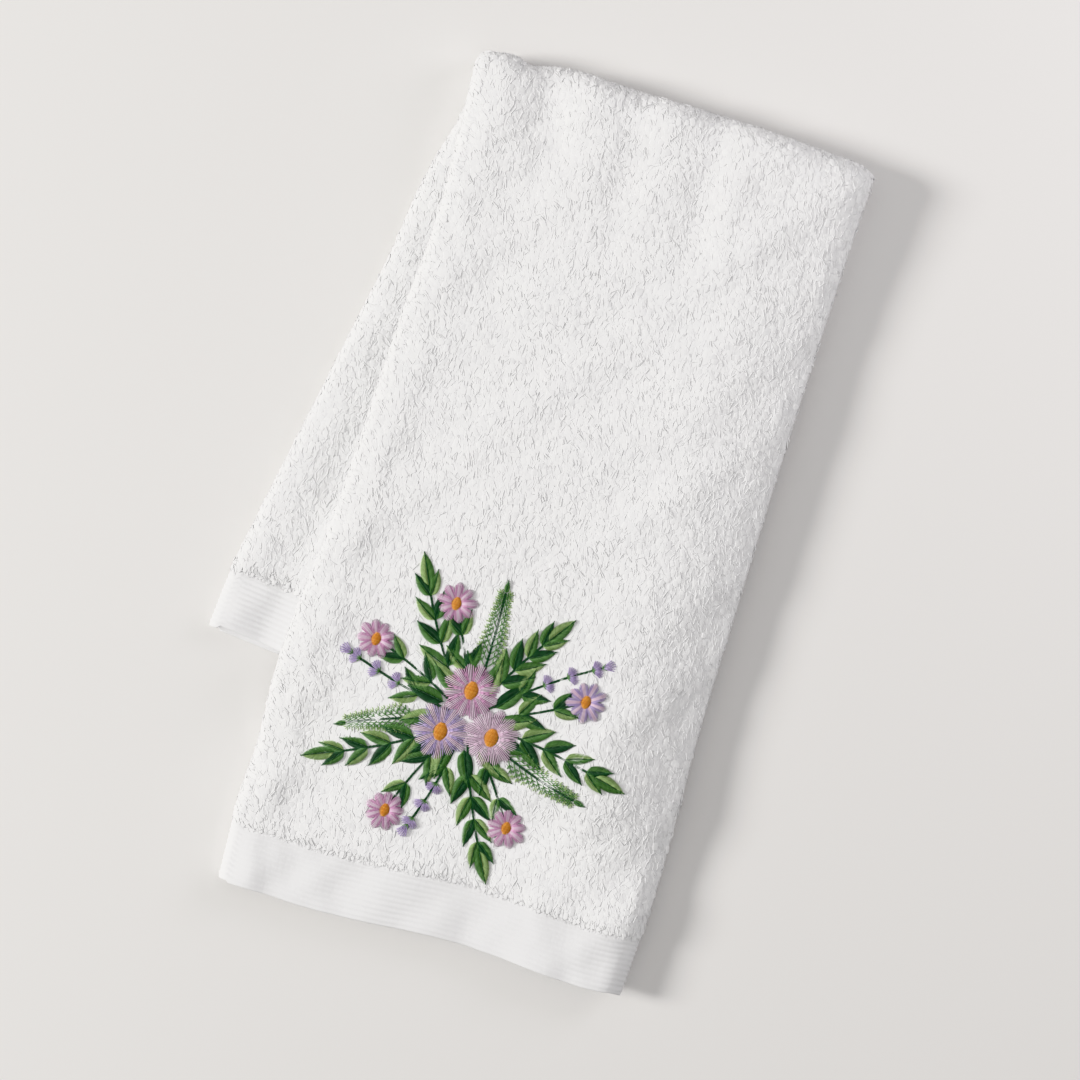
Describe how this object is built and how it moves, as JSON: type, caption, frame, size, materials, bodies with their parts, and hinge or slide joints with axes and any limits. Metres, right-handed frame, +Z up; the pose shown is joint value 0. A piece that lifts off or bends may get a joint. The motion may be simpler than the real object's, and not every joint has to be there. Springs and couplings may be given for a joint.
{
  "type": "folded hand towel",
  "caption": "White terry hand towel folded lengthwise in thirds and once across, lying flat, with woven hem bands and an embroidered floral spray.",
  "frame": {"origin": "middle of the towel's outline, on the surface that it lies on", "axes": "+Z up from the surface, +Y to the fold across the top, +X to the right edge of the front flap"},
  "size_m": [0.1952, 0.3354, 0.0202],
  "materials": {
    "terry_white": "matt white cotton loops"
  },
  "bodies": {
    "root": {"towel_cloth": "terry_white"}
  },
  "joints": []
}
